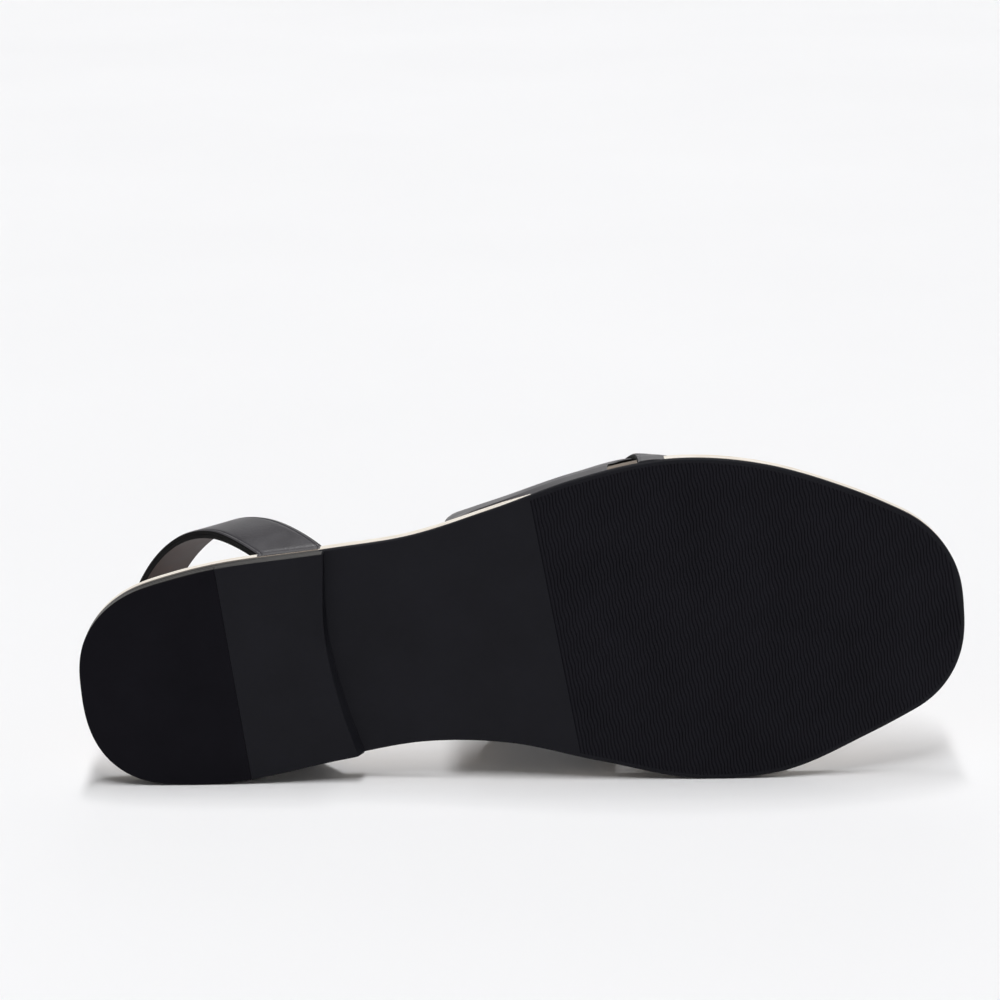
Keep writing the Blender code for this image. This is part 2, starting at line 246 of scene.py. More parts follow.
def newPiece(name, points, finishes, faceFinish=0, sharpDeg=38, body="root"):
    # A closed grid of places on the standing shoe, laid down and made a mesh. faceFinish gives the
    # finish of each column, or of each row and column. Poles are merged, and the standing place is
    # kept as an attribute that finishes can follow.
    rowCount, columnCount = points.shape[:2]
    quads = gridFaces(rowCount, columnCount)
    standing = points.reshape(-1, 3)
    mesh = bpy.data.meshes.new(name)
    mesh.from_pydata(lieDown(standing), [], quads.tolist())
    kept = mesh.attributes.new("standing", "FLOAT_VECTOR", "POINT")
    kept.data.foreach_set("vector", standing.astype(np.float32).ravel())
    for finish in finishes:
        mesh.materials.append(finish)
    chosen = np.broadcast_to(faceFinish, (rowCount - 1, columnCount)).astype(np.int32)
    mesh.polygons.foreach_set("material_index", chosen.ravel())
    work = bmesh.new()
    work.from_mesh(mesh)
    bmesh.ops.remove_doubles(work, verts=work.verts, dist=mergeWithin)
    bmesh.ops.dissolve_degenerate(work, edges=work.edges, dist=dropWithin)
    bmesh.ops.recalc_face_normals(work, faces=work.faces)
    work.to_mesh(mesh)
    work.free()
    mesh.shade_smooth()
    mesh.set_sharp_from_angle(angle=math.radians(sharpDeg))
    piece = bpy.data.objects.new(name, mesh)
    bpy.context.scene.collection.objects.link(piece)
    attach(piece, body)
    print("made", name, "with", len(mesh.polygons), "faces")
    return piece


# Finishes

noiseLow, noiseHigh = 0.3, 0.7    # most of a noise lies between these


def startFinish(name, settings):
    # a material with its constant numbers set on the shader's own sockets
    material = bpy.data.materials.new(name)
    material.use_nodes = True
    nodes = material.node_tree.nodes
    shader = nodes["Principled BSDF"]
    for socket, value in settings["sockets"].items():
        shader.inputs[socket].default_value = value
    place = nodes.new("ShaderNodeTexCoord").outputs["Object"]
    return material, shader, place


def standingPlace(material, stretch):
    # the place on the standing shoe, each axis multiplied by its stretch
    nodes, links = material.node_tree.nodes, material.node_tree.links
    read = nodes.new("ShaderNodeAttribute")
    read.attribute_name = "standing"
    scale = nodes.new("ShaderNodeMapping")
    scale.inputs["Scale"].default_value = stretch
    links.new(read.outputs["Vector"], scale.inputs["Vector"])
    return scale.outputs["Vector"]


def noise(material, place, size, detail=3.0, roughness=0.55):
    # fractal noise whose features are about size metres across
    node = material.node_tree.nodes.new("ShaderNodeTexNoise")
    node.inputs["Scale"].default_value = 1 / size
    node.inputs["Detail"].default_value = detail
    node.inputs["Roughness"].default_value = roughness
    material.node_tree.links.new(place, node.inputs["Vector"])
    return node.outputs["Fac"]


def cells(material, place, size, feature="F1"):
    # distance within cells of about size metres
    node = material.node_tree.nodes.new("ShaderNodeTexVoronoi")
    node.feature = feature
    node.inputs["Scale"].default_value = 1 / size
    material.node_tree.links.new(place, node.inputs["Vector"])
    return node.outputs["Distance"]


def between(material, value, low, high):
    # a noise spread from its own range to another
    node = material.node_tree.nodes.new("ShaderNodeMapRange")
    node.inputs["From Min"].default_value = noiseLow
    node.inputs["From Max"].default_value = noiseHigh
    node.inputs["To Min"].default_value = low
    node.inputs["To Max"].default_value = high
    material.node_tree.links.new(value, node.inputs["Value"])
    return node.outputs["Result"]


def shades(material, value, stops):
    # colour read off a ramp of (position, colour)
    node = material.node_tree.nodes.new("ShaderNodeValToRGB")
    ramp = node.color_ramp
    while len(ramp.elements) < len(stops):
        ramp.elements.new(1.0)
    for element, (position, colour) in zip(ramp.elements, stops):
        element.position = position
        element.color = (*colour, 1)
    material.node_tree.links.new(value, node.inputs["Fac"])
    return node.outputs["Color"]


def darkToPale(material, shader, value, look, paleAt=noiseHigh):
    # colour from dark to pale, and roughness over its range, both as the value rises
    links = material.node_tree.links
    colour = shades(material, value, [(noiseLow, look["dark"]), (paleAt, look["pale"])])
    links.new(colour, shader.inputs["Base Color"])
    links.new(between(material, value, *look["rough"]), shader.inputs["Roughness"])


def bumpOn(material, shader, *layers):
    # each height, with its (strength, depth in metres), is laid on the normal of the one before
    below = None
    for height, (strength, depth) in layers:
        node = material.node_tree.nodes.new("ShaderNodeBump")
        node.inputs["Strength"].default_value = strength
        node.inputs["Distance"].default_value = depth
        material.node_tree.links.new(height, node.inputs["Height"])
        if below:
            material.node_tree.links.new(below, node.inputs["Normal"])
        below = node.outputs["Normal"]
    material.node_tree.links.new(below, shader.inputs["Normal"])


# Rubber of the outsole and of the wear piece

rubberLook = {
    "mottle": 0.018, "skin": 0.00055, "skinBump": (0.25, 0.00008),
    "outsole": {"dark": (0.0083, 0.0083, 0.0112), "pale": (0.0113, 0.0113, 0.0150), "rough": (0.52, 0.64),
                "sockets": {"Specular IOR Level": 0.10}},
    "tread": {"dark": (0.0084, 0.0081, 0.0112), "pale": (0.0111, 0.0107, 0.0146), "rough": (0.60, 0.72),
              "sockets": {"Specular IOR Level": 0.08}},
    "heelBottom": {"dark": (0.0083, 0.0083, 0.0112), "pale": (0.0113, 0.0113, 0.0150), "rough": (0.52, 0.64),
                   "sockets": {"Specular IOR Level": 0.10}},
    "wearPiece": {"dark": (0.0056, 0.0052, 0.0076), "pale": (0.0081, 0.0076, 0.0106), "rough": (0.74, 0.86),
                  "sockets": {"Specular IOR Level": 0.06}},
}


def rubberFinish(name, kind):
    # two near blacks mottled by slow noise, and a fine moulded skin
    look = rubberLook[kind]
    material, shader, place = startFinish(name, look)
    mottle = noise(material, place, rubberLook["mottle"])
    skin = noise(material, place, rubberLook["skin"], detail=2.0)
    darkToPale(material, shader, mottle, look)
    bumpOn(material, shader, (skin, rubberLook["skinBump"]))
    return material


# Black leather of the straps, its lining and its painted edge

leatherLook = {
    "grain": 0.00075, "tone": 0.012,
    "grainBump": (0.22, 0.00012), "poreBump": (0.12, 0.00005), "napBump": (0.2, 0.00008),
    "dark": (0.0420, 0.0398, 0.0448), "pale": (0.0590, 0.0562, 0.0628), "rough": (0.32, 0.44),
    "sockets": {"Specular IOR Level": 0.6},
    "lining": {"dark": (0.056, 0.039, 0.037), "pale": (0.086, 0.062, 0.058), "rough": (0.56, 0.68),
               "sockets": {"Specular IOR Level": 0.3}},
    "edge": {"dark": (0.0020, 0.0018, 0.0019), "pale": (0.0038, 0.0034, 0.0035), "rough": (0.50, 0.64),
             "sockets": {"Specular IOR Level": 0.06}},
}


def strapLeather(name):
    # near black with slow changes of tone; the grain is a net of rounded cells with fine pores
    look = leatherLook
    material, shader, place = startFinish(name, look)
    tone = noise(material, place, look["tone"])
    grain = cells(material, place, look["grain"], "SMOOTH_F1")
    pores = noise(material, place, look["grain"] / 3, detail=2.0)
    darkToPale(material, shader, tone, look)
    bumpOn(material, shader, (grain, look["grainBump"]), (pores, look["poreBump"]))
    return material


def plainLeather(name, kind):
    # lining or painted edge: two tones mottled by noise over a fine nap
    look = leatherLook[kind]
    material, shader, place = startFinish(name, look)
    tone = noise(material, place, leatherLook["tone"] / 2, detail=4.0)
    nap = noise(material, place, leatherLook["grain"] / 2)
    darkToPale(material, shader, tone, look)
    bumpOn(material, shader, (nap, leatherLook["napBump"]))
    return material


# Natural leather of the footbed

footbedLook = {
    "pore": 0.0009, "tone": 0.030, "fibre": 0.0011, "fibreStretch": (0.12, 0.12, 1), "fibrePaleAt": 0.65,
    "poreBump": (0.18, 0.0001), "fibreBump": (0.35, 0.0002),
    "top": {"dark": (0.40, 0.27, 0.155), "pale": (0.53, 0.385, 0.24), "rough": (0.48, 0.60)},
    "edge": {"dark": (0.74, 0.66, 0.56), "pale": (0.89, 0.845, 0.775), "rough": (0.66, 0.80)},
    # the same cut edge darker, as painted shade under the overhanging straps and along its foot round the
    # heel seat
    "edgePaintedShade": {"dark": (0.15, 0.12, 0.095), "pale": (0.27, 0.225, 0.185), "rough": (0.60, 0.74)},
    "sockets": {"Specular IOR Level": 0.4},
}


def footbedTop(name):
    # tan in slow drifts of tone, with small pores pressed in
    look = footbedLook["top"]
    material, shader, place = startFinish(name, footbedLook)
    tone = noise(material, place, footbedLook["tone"], detail=5.0)
    pores = cells(material, place, footbedLook["pore"])
    darkToPale(material, shader, tone, look)
    bumpOn(material, shader, (pores, footbedLook["poreBump"]))
    return material


def footbedEdge(name, kind):
    # pale cut edge, or the same edge darker as painted shade: fibres drawn out along the foot, in thin layers
    # one above the other
    look = footbedLook[kind]
    material, shader, _ = startFinish(name, footbedLook)
    drawnOut = standingPlace(material, footbedLook["fibreStretch"])
    fibres = noise(material, drawnOut, footbedLook["fibre"], detail=4.0)
    darkToPale(material, shader, fibres, look, footbedLook["fibrePaleAt"])
    bumpOn(material, shader, (fibres, footbedLook["fibreBump"]))
    return material


# Satin dressing on the cut edges round the heel: outsole, stack and wear piece

dressingLook = {
    "dark": (0.0135, 0.0122, 0.0108), "pale": (0.0240, 0.0218, 0.0192), "rough": (0.34, 0.46),
    "sockets": {"Specular IOR Level": 0.45}, "tone": 0.009,
    "layer": 0.0013, "layerStretch": (0.04, 0.04, 1), "layerBump": (0.25, 0.00015),
    "grain": 0.0006, "grainBump": (0.12, 0.00006),
}


def edgeSatin(name):
    # satin black over stacked layers, whose lines show faintly along the wall
    look = dressingLook
    material, shader, place = startFinish(name, look)
    layers = noise(material, standingPlace(material, look["layerStretch"]), look["layer"], detail=2.0)
    tone = noise(material, place, look["tone"], detail=4.0)
    grain = noise(material, place, look["grain"])
    darkToPale(material, shader, tone, look)
    bumpOn(material, shader, (layers, look["layerBump"]), (grain, look["grainBump"]))
    return material


edgeDressing = edgeSatin("edgeDressing")
wallRings = 4    # rings of an edge profile that count as its wall


# Outsole: thin rubber with a rounded edge and fine wavy ribs across the forefoot, inside a smooth rim

outsole = {
    "edgeRound": 0.0006, "rim": 0.0012, "rimStep": 0.00015,
    "ribPitch": 0.00105, "ribDepth": 0.00027, "ribSlant": 0.107,
    "ribSteps": (0, 0.2, 0.4, 0.7),    # shares of the pitch: the groove is deepest at the second
    "treadStart": 0.1412,    # cross line of the first groove
    "satinEnd": 0.0757,      # and of the end of the satin wall round the heel seat
    "waveHeight": 0.00022, "waveLength": 0.0070, "waveShift": 0.90,    # shift is in radians a rib
    "waveIn": 0.004, "waveOut": (0.005, 0.001),    # how far from the tread's ends the waves ease in and out
    "wallShare": 0.6,    # height of the ring within the wall
    "waistRows": 50, "toeRows": 24, "toeCrowd": 2, "toeGap": 0.0001, "faceColumns": 84,
}


def ribWave(line, y, end):
    # sine along the rib, a little later from one rib to the next, eased out at both ends of the tread
    o = outsole
    easedIn = smoothStep(o["treadStart"], o["treadStart"] + o["waveIn"], line)
    easedOut = 1 - smoothStep(end - o["waveOut"][0], end - o["waveOut"][1], line)
    turn = 2 * math.pi * y / o["waveLength"] + o["waveShift"] * (line - o["treadStart"]) / o["ribPitch"]
    return o["waveHeight"] * (easedIn * easedOut) * np.sin(turn)


def makeOutsole():
    # the edge profile carried round the outline, with cross lines on the ribs: each rib's second line
    # is pressed in, and the waves move the face's lines along the foot
    o, s = outsole, soleShape
    line = outlineSides(0, o["ribSlant"])[0][:, 0]
    low, high = line.min(), line.max()
    heelEnd = low + s["endLength"]
    ribCount = int((high - o["rim"] - o["treadStart"]) / o["ribPitch"])
    ribs = o["treadStart"] + o["ribPitch"] * (np.arange(ribCount)[:, None] + np.array(o["ribSteps"])).ravel()
    rear = np.concatenate([endRows(low, heelEnd), evenRows(heelEnd, o["treadStart"], o["waistRows"])[1:-1]])
    toe = evenRows(high, ribs[-1] + o["toeGap"], o["toeRows"], o["toeCrowd"])[::-1]
    stations = np.concatenate([rear, ribs, toe])
    groove = np.zeros(len(stations))
    groove[len(rear) + 1:len(rear) + len(ribs):len(o["ribSteps"])] = o["ribDepth"]
    profile = [(0, s["outsoleThick"]), (0, s["outsoleThick"] * o["wallShare"])]
    profile += roundedEdge(o["edgeRound"], 0, 0, -1)
    profile += [(o["rim"], 0), (o["rim"] + o["rimStep"], 0)]
    plan, height, ring = slab(profile, stations, o["ribSlant"], o["faceColumns"])
    onFace = ring == len(profile)
    x, y = plan[..., 0], plan[..., 1]
    x = x + onFace * ribWave(stations[:, None], y, high - o["rim"])
    relief = groove[:, None] * (ring >= len(profile) - 1)
    points = np.stack([x, y, outsoleBottom(x) + height + relief], -1)
    # smooth rubber, satin on the wall of the heel seat, and duller rubber on the tread
    wall, tread = 1, 2
    line = stations[:-1, None]
    onWall = outsideOf(ring, wallRings) & (line < o["satinEnd"])
    onTread = ~outsideOf(ring, len(profile) - 1) & (line >= o["treadStart"])
    finish = np.where(onTread, tread, wall * onWall)
    piece = newPiece("outsoleRubber", points, [rubberFinish("outsoleRubber", "outsole"), edgeDressing,
                                               rubberFinish("treadRubber", "tread")], finish)
    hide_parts("outsole")


# Heel: painted stack with a scooped breast, and a wear piece let into its rear half

heel = {
    "wearThick": 0.0020, "wearFront": 0.045, "wearSlant": 0.066, "wearGap": 0.0001, "wearChamfer": 0.0001,
    "edgeRound": 0.0004, "breastChamfer": 0.0004, "faceInset": 0.0015,
    "wallShare": 0.7,    # height of the ring within the stack's wall
    "recessRows": 12, "breastRows": 24, "wearRows": 10, "faceColumns": 24,
    "breastShares": (0.012, 0.06, 0.2, 0.4, 0.6, 0.8, 1.0),    # rows of the breast, from rim to middle
    "wearFrontShares": (0.01, 1.0),                            # and of the wear piece's front
}
# y, how far forward the foot of the breast reaches there, and how far the breast leans out above it
breastTable = mm * np.array([(-36, 75.0, 0.1), (-9, 73.0, 1.0), (14, 76.0, 1.6), (30, 80.0, 1.8)])


def breastFront(y):
    # curve through the table's reach
    return curveThrough(breastTable, 1, y)


def breastLean(y):
    # curve through the table's lean
    return curveThrough(breastTable, 2, y)


def makeHeelBlock():
    # the edge profile carried round the heel, its bottom raised to the recess behind the wear piece's
    # front, and its front leaning out as it rises
    s = soleShape
    top = s["heelHeight"] - s["gap"]
    recessDepth = heel["wearThick"] + s["gap"]
    recessFront = heel["wearFront"] + heel["wearGap"]
    frontLine = breastTable[:, 1].max()

    def bend(line, y):
        # the cross lines slant more and more up to the recess, and from there bow out to the breast
        recess = recessFront + heel["wearSlant"] * y
        share = np.clip((line - recessFront) / (frontLine - recessFront), 0, 1)
        behind = line + heel["wearSlant"] * y * (line / recessFront)**2
        return np.where(share > 0, recess + share * (breastFront(y) - recess), behind)

    endLength = s["endLength"]
    rear = np.concatenate([endRows(0, endLength), evenRows(endLength, recessFront, heel["recessRows"])[1:]])
    front = evenRows(recessFront, frontLine, heel["breastRows"])
    stations = np.concatenate([rear, front])
    lowest = np.where(np.arange(len(stations)) < len(rear), recessDepth, 0.0)
    profile = [(0, top), (0, top * heel["wallShare"]), (0, recessDepth)]
    profile += roundedEdge(heel["edgeRound"], 0, 0, -1) + [(heel["faceInset"], 0)]
    plan, height, ring = slab(profile, stations, faceColumns=heel["faceColumns"], bend=bend)
    z = np.maximum(height[None, :], lowest[:, None])
    lean = np.clip((stations - recessFront) / (frontLine - recessFront), 0, 1)[:, None]
    x = plan[..., 0] + lean * breastLean(plan[..., 1]) * z / top
    points = np.stack([x, plan[..., 1], z], -1)
    # the breast face: the last section drawn in to its middle, each place set on the scoop
    last = points[-1].copy()
    points[-1, :, 0] -= heel["breastChamfer"]
    middle = np.array([0, last[:, 1].mean(), top / 2])
    drawn = last + (middle - last) * np.array(heel["breastShares"])[:, None, None]
    drawn[..., 0] = breastFront(drawn[..., 1]) + breastLean(drawn[..., 1]) * drawn[..., 2] / top
    # satin on the wall, and plain rubber on the bottom and the breast
    behindBreast = np.arange(len(stations) + len(drawn) - 1) < len(stations) - 1
    piece = newPiece("heelStack", np.concatenate([points, drawn]),
                     [rubberFinish("heelBottom", "heelBottom"), edgeDressing],
                     outsideOf(ring, wallRings + 1) & behindBreast[:, None])
    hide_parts("heel_block")


def makeWearPiece():
    # the edge profile carried round the back of the heel, and the front closed to its middle
    def bend(line, y):
        # cross lines that slant more and more up to the front edge
        return line + heel["wearSlant"] * y * (line / heel["wearFront"])**2

    endLength = soleShape["endLength"]
    sideRows = evenRows(endLength, heel["wearFront"], heel["wearRows"])[1:]
    stations = np.concatenate([endRows(0, endLength), sideRows])
    profile = [(0, heel["wearThick"]), (0, heel["wearThick"] / 2)]
    profile += roundedEdge(heel["edgeRound"], 0, 0, -1) + [(heel["faceInset"], 0)]
    plan, height, ring = slab(profile, stations, faceColumns=heel["faceColumns"], bend=bend)
    points = np.dstack([plan, np.broadcast_to(height, plan.shape[:2])])
    front = points[-1].copy()
    middle = front.mean(axis=0)
    inner = front + (middle - front) * np.array(heel["wearFrontShares"])[:, None, None]
    points[-1, :, 0] -= heel["wearChamfer"]
    piece = newPiece("heelWearPiece", np.concatenate([points, inner]),
                     [rubberFinish("wearRubber", "wearPiece"), edgeDressing], outsideOf(ring, wallRings))
    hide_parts("heel_top_piece")


# Insole: natural leather footbed with a pale cut edge

insole = {
    "inset": 0.0002, "edgeRound": 0.0004, "edgeSwell": 0.0001, "faceInset": 0.0022,
    "edgeShares": (0.3, 0.6),    # heights of the rings within the edge: the first is the top of its foot
    # the cut edge is darker, as painted shade, along its foot up to the first place, and all over between the
    # second's two places
    "paintedShadeEnd": 0.0725, "paintedShadeBetween": (0.1553, 0.1737),
    "toeStart": 0.235, "sideRows": 110, "faceColumns": 30,
}


def makeInsole():
    # the edge profile carried round the outline, standing on the curve of the outsole's top
    s = soleShape
    thick, inset, swell = s["insoleThick"], insole["inset"], insole["edgeSwell"]
    toeStart = insole["toeStart"]
    stations = np.concatenate([
        endRows(inset, s["endLength"]), evenRows(s["endLength"], toeStart, insole["sideRows"])[1:-1],
        endRows(s["length"] - inset, toeStart)[::-1],
    ])
    profile = [(inset + swell, 0)] + [(inset, thick * share) for share in insole["edgeShares"]]
    profile += roundedEdge(insole["edgeRound"], inset, thick, 1) + [(insole["faceInset"], thick)]
    plan, height, ring = slab(profile, stations, faceColumns=insole["faceColumns"])
    points = np.dstack([plan, insoleBottom(plan[..., 0]) + height])
    # the top, the pale cut edge, and that edge darker as painted shade: at its foot round the heel seat, and
    # all of it between the lateral feet of the cross straps, where they overhang it
    pale, paintedShade = 1, 2
    x = stations[:-1, None]
    onEdge = outsideOf(ring, len(profile) - 2)
    paintedShadeStart, paintedShadeEnd = insole["paintedShadeBetween"]
    onPaintedShade = outsideOf(ring, 1) & (x < insole["paintedShadeEnd"]) | onEdge & (x > paintedShadeStart) & (x < paintedShadeEnd)
    piece = newPiece("footbed", points, [footbedTop("footbedTop"), footbedEdge("footbedEdge", "edge"),
                                         footbedEdge("footbedEdgePaintedShade", "edgePaintedShade")],
                     np.where(onPaintedShade, paintedShade, pale * onEdge))
    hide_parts("insole")


# Straps: each is a lined ribbon, with a profile carried along the middle of its wall

crossStraps = {
    "thick": 0.0022, "columns": 72, "footGap": 0.0,
    "liftEnd": 0.06,    # share of its length by which a strap is over the last by its lift
    "roll": 0.00035, "rollShare": 0.02, "edgeSwell": 0.00015, "seamDepth": 0.00018, "paintShare": 0.005,
    "crease": (0.00012, 0.020, 0.0045),    # depth, place and half width of the line pressed by each edge
    "fold": (0.0002, 0.008, 0.005),        # and of the soft trough where the strap turns up
    # ends of each strap along the footbed's edge: middle and half length, lateral then medial
    # wrap: where the lateral foot starts to stand over the footbed's edge, and where it draws in
    # again; proud: by how much it stands over it; slant: where it starts to cover that edge, and the
    # length over which it comes to cover all of it; fade: the share of the strap's length by which
    # it is back on the last; cornerBack: how far the front corner of that foot is drawn back
    "under": {"lateral": (0.1395, 0.029), "medial": (0.189, 0.017), "lift": 0.0,
              "wrap": (0.121, 0.162, 0.166), "slant": (0.1265, 0.0165), "proud": 0.00035, "fade": 0.045,
              "cornerBack": 0.0085},
    "over": {"lateral": (0.1855, 0.017), "medial": (0.134, 0.021), "lift": 0.0013,
             "wrap": (0.165, 0.1705, 0.1915), "slant": (0.165, 0.0), "proud": 0.00060, "fade": 0.05,
             "cornerBack": 0.0},
    "wrapEase": 0.010, "tuck": 0.012,    # tuck: how deep under the footbed the lower edge can start
    "cornerFrom": 0.7, "cornerFade": 0.12,    # shares across and along the strap that the corner takes
}
# x, height of the last over the footbed, footbed rim beside it, and how square its section is
lastTable = np.array([
    (95, 62, 2.3, 2.2), (125, 53, 1.2, 2.2), (150, 47, 1.2, 2.3), (168, 40, 1.5, 2.6),
    (182, 35, 4.0, 2.2), (215, 27, 3.0, 2.3),
]) * (mm, mm, mm, 1)


def lastPoint(x, girth, lift, wrap):
    # superellipse over the foot: girth 0 is the lateral edge of the footbed and 1 the medial
    angle = math.pi * girth
    power = 2 / curveThrough(lastTable, 3, x)
    side = np.where(girth < 0.5, lateral, medial)
    inset = curveThrough(lastTable, 2, x) + crossStraps["thick"] / 2
    half = np.abs(soleEdge(x, side, inset)) + lift + wrap
    y = side * half * np.abs(np.cos(angle))**power
    z = footbed(x) + (curveThrough(lastTable, 1, x) + lift) * np.clip(np.sin(angle), 0, 1)**power
    return np.stack([x, y, z], -1)


def wrapOut(strap, x, atOutsole=False):
    # How far the lateral foot is set out: the footbed's rim and a little more, eased in and out along
    # x. At the outsole the little more is less by the slant's length over the way from its start, so
    # the line where the strap comes out over the edge slants down along x.
    start, hold, end = strap["wrap"]
    slantStart, slantLength = strap["slant"]
    eased = smoothStep(start - crossStraps["wrapEase"], start, x) * (1 - smoothStep(hold, end, x))
    proud = strap["proud"] * (1 - atOutsole * slantLength / np.maximum(x - slantStart, leastLength))
    return np.maximum(curveThrough(lastTable, 2, x) - insole["inset"] + proud, -crossStraps["tuck"]) * eased


def crossStrapMiddle(strap):
    # the strap's middle and half width ease from its lateral to its medial end, and the front corner
    # of its lateral end is drawn back
    (startMiddle, startHalf), (endMiddle, endHalf) = strap["lateral"], strap["medial"]

    def middle(girth, across):
        ease = smoothStep(0, 1, girth)
        half = startHalf + (endHalf - startHalf) * ease
        x = startMiddle + (endMiddle - startMiddle) * ease + half * (2 * across - 1)
        corner = smoothStep(crossStraps["cornerFrom"], 1, across)
        corner = corner * (1 - smoothStep(0, crossStraps["cornerFade"], girth))
        x = x - strap["cornerBack"] * corner
        fromEnd = np.minimum(girth, 1 - girth) + 0 * across
        lift = strap["lift"] * smoothStep(0, crossStraps["liftEnd"], fromEnd)
        wrap = wrapOut(strap, x) * (1 - smoothStep(0, strap["fade"], girth))
        return lastPoint(x, girth + 0 * across, lift, wrap)
    return middle


def crossStrapFoot(strap):
    # moves the strap's lowest row from its place at the footbed to its place at the outsole
    def foot(points):
        x = points[..., 0]
        points[..., 1] += lateral * (wrapOut(strap, x, atOutsole=True) - wrapOut(strap, x))
    return foot


heelStrap = {
    "width": 0.0152, "thick": 0.0025, "proud": 0.00015, "footGap": 0.0018, "columns": 22,
    "slopeDeg": 50.7, "base": 0.0645, "reach": 0.0785,    # lie of the loop, its place and its length
    "leaveTurn": 0.3,    # turn of the loop, in radians, by which it has left the line of the sole's edge
    "bulge": {lateral: 0.0131, medial: 0.0107}, "flare": 0.0034, "shift": 0.0021, "power": 2.7,
    "roll": 0.0003, "rollShare": 0.05, "edgeSwell": 0.00015, "seamDepth": 0.00018, "paintShare": 0.018,
    "crease": (0.00015, 0.075, 0.016), "fold": (0.00012, 0.0015, 0.0025),
}


def heelStrapMiddle(share, across):
    # a band bent into a loop in a plane that slopes back over the heel: its sides close by a power
    # of the cosine, swell by the sine of the double angle, and are mitred to meet the footbed level
    h = heelStrap
    slope = math.radians(h["slopeDeg"])
    offset = h["width"] * (across - 0.5)
    side = np.where(share < 0.5, lateral, medial)
    angle = math.pi * np.minimum(share, 1 - share)
    up = h["reach"] * np.sin(angle) - offset / math.tan(slope) * np.cos(angle)**2
    x = h["base"] - up * math.cos(slope) + offset * math.sin(slope)
    z = footbed(h["base"]) + up * math.sin(slope) + offset * math.cos(slope)
    inset = h["thick"] / 2 - h["proud"]
    start = soleEdge(h["base"], side, inset)
    start = start + (soleEdge(x, side, inset) - start) * (1 - smoothStep(0, h["leaveTurn"], angle))
    bulge = np.where(side > 0, h["bulge"][medial], h["bulge"][lateral]) + h["flare"] * (across - 0.5)
    y = start * np.clip(np.cos(angle), 0, 1)**h["power"] + side * bulge * np.sin(2 * angle)
    return np.stack([x, y + lateral * h["shift"] * np.sin(angle), z], -1)


strapEdge = {
    # from the leather's side to the lining's: shares of the thickness and of the swell
    "heights": (0.26, 0.14, 0.03, 0.0, -0.03, -0.16, -0.34, -0.46),
    "swells": (0.7, 1, 0.9, 0, 0.9, 1, 0.8, 0.3),
    "seamRow": 3,
}
strapMesh = {"rows": 220, "innerColumns": 12, "creaseColumns": 7, "creaseReach": 1.8, "tangentStep": 1e-4}
leatherColumn, edgeColumn, liningColumn = 0, 1, 2


def strapProfile(strap):
    # Once round the strap: across its outer face, which rolls down at both edges beside a pressed
    # line, round the upper edge, where a fine seam parts leather from lining, back over the lining
    # and round the lower edge.
    thick, paint = strap["thick"], strap["paintShare"]
    creaseDepth, creaseAt, creaseHalf = strap["crease"]
    creaseReach = strapMesh["creaseReach"]
    nearCrease = creaseAt + creaseHalf * np.linspace(-creaseReach, creaseReach, strapMesh["creaseColumns"])
    crowded = (1 - np.cos(math.pi * np.linspace(0, 1, strap["columns"]))) / 2
    outer = np.unique(np.concatenate([crowded, nearCrease, 1 - nearCrease, [paint, 1 - paint]]))
    outerColumns, edgeColumns = len(outer), len(strapEdge["heights"])
    innerColumns = strapMesh["innerColumns"]
    inner = (1 + np.cos(math.pi * np.linspace(0, 1, innerColumns))) / 2
    fromEdge = np.minimum(outer, 1 - outer)
    outerHeight = thick / 2 - strap["roll"] * (1 - smoothStep(0, strap["rollShare"], fromEdge))
    outerHeight -= creaseDepth * np.exp(-((fromEdge - creaseAt) / creaseHalf)**2)
    edgeHeight = np.array(strapEdge["heights"]) * thick
    edgeSwell = strap["edgeSwell"] * np.array(strapEdge["swells"])
    edgeSwell[strapEdge["seamRow"]] -= strap["seamDepth"]
    across = np.concatenate([outer, np.ones(edgeColumns), inner, np.zeros(edgeColumns)])
    height = np.concatenate([outerHeight, edgeHeight, np.full(innerColumns, -thick / 2), edgeHeight[::-1]])
    beside = np.concatenate([np.zeros(outerColumns), edgeSwell, np.zeros(innerColumns), -edgeSwell[::-1]])
    kind = np.full(len(across), edgeColumn)
    middles = (fromEdge[1:] + fromEdge[:-1]) / 2
    kind[:outerColumns - 1] = np.where(middles < paint, edgeColumn, leatherColumn)
    liningStart = outerColumns + edgeColumns
    kind[liningStart:liningStart + innerColumns - 1] = liningColumn
    return across, height, beside, kind


def ribbon(middle, strap, foot):
    # The profile set up at each place along the strap, on the two tangents and the normal of its
    # middle surface, with a soft trough near each end. Both ends then drop through the footbed to
    # the outsole and are closed.
    across, height, beside, kind = strapProfile(strap)
    along = (1 - np.cos(math.pi * np.linspace(0, 1, strapMesh["rows"])))[:, None] / 2
    foldDepth, foldAt, foldHalf = strap["fold"]
    fold = foldDepth * np.exp(-((np.minimum(along, 1 - along) - foldAt) / foldHalf)**2) * (height > 0)
    step = strapMesh["tangentStep"]
    across = across[None, :]
    centre = middle(along, across)
    forward = unit(middle(np.minimum(along + step, 1), across) - middle(np.maximum(along - step, 0), across))
    sideways = unit(middle(along, np.minimum(across + step, 1)) - middle(along, np.maximum(across - step, 0)))
    outward = unit(np.cross(sideways, forward))
    points = centre + outward * (height - fold)[..., None] + sideways * beside[None, :, None]
    first, last = points[:1].copy(), points[-1:].copy()
    if foot:
        foot(first)
    for end in (first, last):
        end[..., 2] = outsoleTop(end[..., 0]) + strap["footGap"]
    points = np.concatenate([first, points, last])
    return closeEnd(closeEnd(points)[::-1])[::-1], kind


def makeStrap(name, node, finishes, strap, middle, foot=None):
    # a ribbon along the given middle surface, in leather, painted edge and lining
    points, kind = ribbon(middle, strap, foot)
    piece = newPiece(name, points, finishes, kind)
    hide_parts(node)


# Camera, floor and light

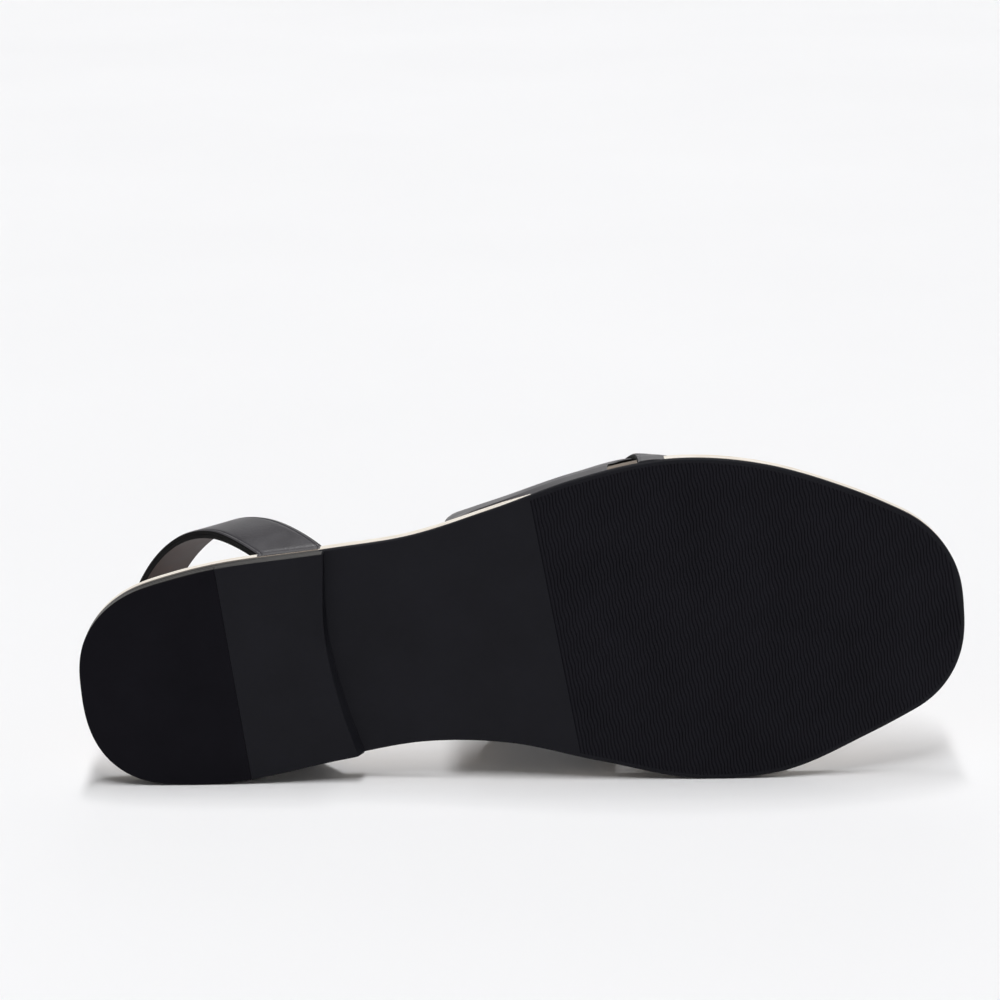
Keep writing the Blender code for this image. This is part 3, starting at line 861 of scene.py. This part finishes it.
photoView = {
    "focalPixels": 3420, "framePixels": 1000, "sensor": 36.0,
    "leanDeg": 13.5,    # how far the sole leans back from facing the camera
    "turnDeg": 5.0,     # how far the heel-to-toe line is turned in the picture
    "distance": 1.0,
    "aim": (0.13044, -0.00975, 0.0),    # place on the sole's resting plane
    "aimRight": 0.005848, "aimUp": -0.035088,    # and where it lies from the middle of the view
}


def makeCamera():
    # the shoe's axes as the camera sees them, turned round into the camera's axes on the shoe
    v = photoView
    lean, turn = math.radians(v["leanDeg"]), math.radians(v["turnDeg"])
    seen = np.array([
        (math.cos(turn), math.sin(turn), 0),
        (math.sin(turn) * math.cos(lean), -math.cos(turn) * math.cos(lean), math.sin(lean)),
        (math.sin(turn) * math.sin(lean), -math.cos(turn) * math.sin(lean), -math.cos(lean)),
    ])
    aimSeen = np.array([v["aimRight"], v["aimUp"], -v["distance"]])
    place = lieDown(np.array(v["aim"]) - seen.T @ aimSeen)
    matrix = np.eye(4)
    matrix[:3, :3] = (seen @ shoeAxes).T
    matrix[:3, 3] = place
    data = bpy.data.cameras.new("photoCamera")
    data.sensor_width = v["sensor"]
    data.lens = v["sensor"] * v["focalPixels"] / v["framePixels"]
    camera = bpy.data.objects.new("photoCamera", data)
    camera.matrix_world = Matrix(matrix.tolist())
    bpy.context.scene.collection.objects.link(camera)
    bpy.context.scene.camera = camera
    print("camera", round(float(place[2]) * 1000), "mm over the floor")


studio = {
    "floorHalf": 6.0, "floorDark": (0.86, 0.86, 0.872), "floorPale": (0.88, 0.88, 0.892),
    "floorDrift": 0.4, "sockets": {"Specular IOR Level": 0.05, "Roughness": 0.9},
    # brightness of the sky by the sine of its height: a pale backdrop low down, and fainter overhead
    "sky": [(0.0, 0.8), (0.1, 0.65), (0.25, 0.25), (0.5, 0.08)],
    # a strip of overhead lights from front to back, and a faint wide one low behind the shoe
    "strip": {"tipsDeg": np.linspace(-17, 33, 9), "angleDeg": 6, "strength": 0.348},
    "glow": {"tipsDeg": [-63], "angleDeg": 25, "strength": 0.15},
}


def makeStudio():
    # a wide pale floor, a sky that is brightest low down, the strip of lights and the glow
    half = studio["floorHalf"]
    mesh = bpy.data.meshes.new("studioFloor")
    corners = [(-half, -half, 0), (half, -half, 0), (half, half, 0), (-half, half, 0)]
    mesh.from_pydata(corners, [], [(0, 1, 2, 3)])
    floor = bpy.data.objects.new("studioFloor", mesh)
    material, shader, place = startFinish("studioFloor", studio)
    drift = noise(material, place, studio["floorDrift"])
    colour = shades(material, drift, [(noiseLow, studio["floorDark"]), (noiseHigh, studio["floorPale"])])
    material.node_tree.links.new(colour, shader.inputs["Base Color"])
    mesh.materials.append(material)
    bpy.context.scene.collection.objects.link(floor)
    world = bpy.data.worlds.new("studioSky")
    world.use_nodes = True
    direction = world.node_tree.nodes.new("ShaderNodeTexCoord").outputs["Generated"]
    split = world.node_tree.nodes.new("ShaderNodeSeparateXYZ")
    world.node_tree.links.new(direction, split.inputs["Vector"])
    colour = shades(world, split.outputs["Z"], [(height, (level,) * 3) for height, level in studio["sky"]])
    world.node_tree.links.new(colour, world.node_tree.nodes["Background"].inputs["Color"])
    bpy.context.scene.world = world
    for name in ("strip", "glow"):
        light = bpy.data.lights.new(name, "SUN")
        light.angle = math.radians(studio[name]["angleDeg"])
        light.energy = studio[name]["strength"]
        for tip in studio[name]["tipsDeg"]:
            lamp = bpy.data.objects.new(name, light)
            lamp.rotation_euler = (math.radians(tip), 0, 0)
            bpy.context.scene.collection.objects.link(lamp)
    bpy.context.scene.view_settings.view_transform = "Standard"


makeCamera()
makeOutsole()
makeHeelBlock()
makeWearPiece()
makeInsole()
strapFinishes = [
    strapLeather("strapLeather"), plainLeather("strapEdge", "edge"), plainLeather("strapLining", "lining"),
]
for name, strap in (("underStrap", crossStraps["under"]), ("overStrap", crossStraps["over"])):
    middle, foot = crossStrapMiddle(strap), crossStrapFoot(strap)
    makeStrap(name, "cross_straps", strapFinishes, crossStraps, middle, foot)
makeStrap("heelStrap", "heel_strap", strapFinishes, heelStrap, heelStrapMiddle)
makeStudio()
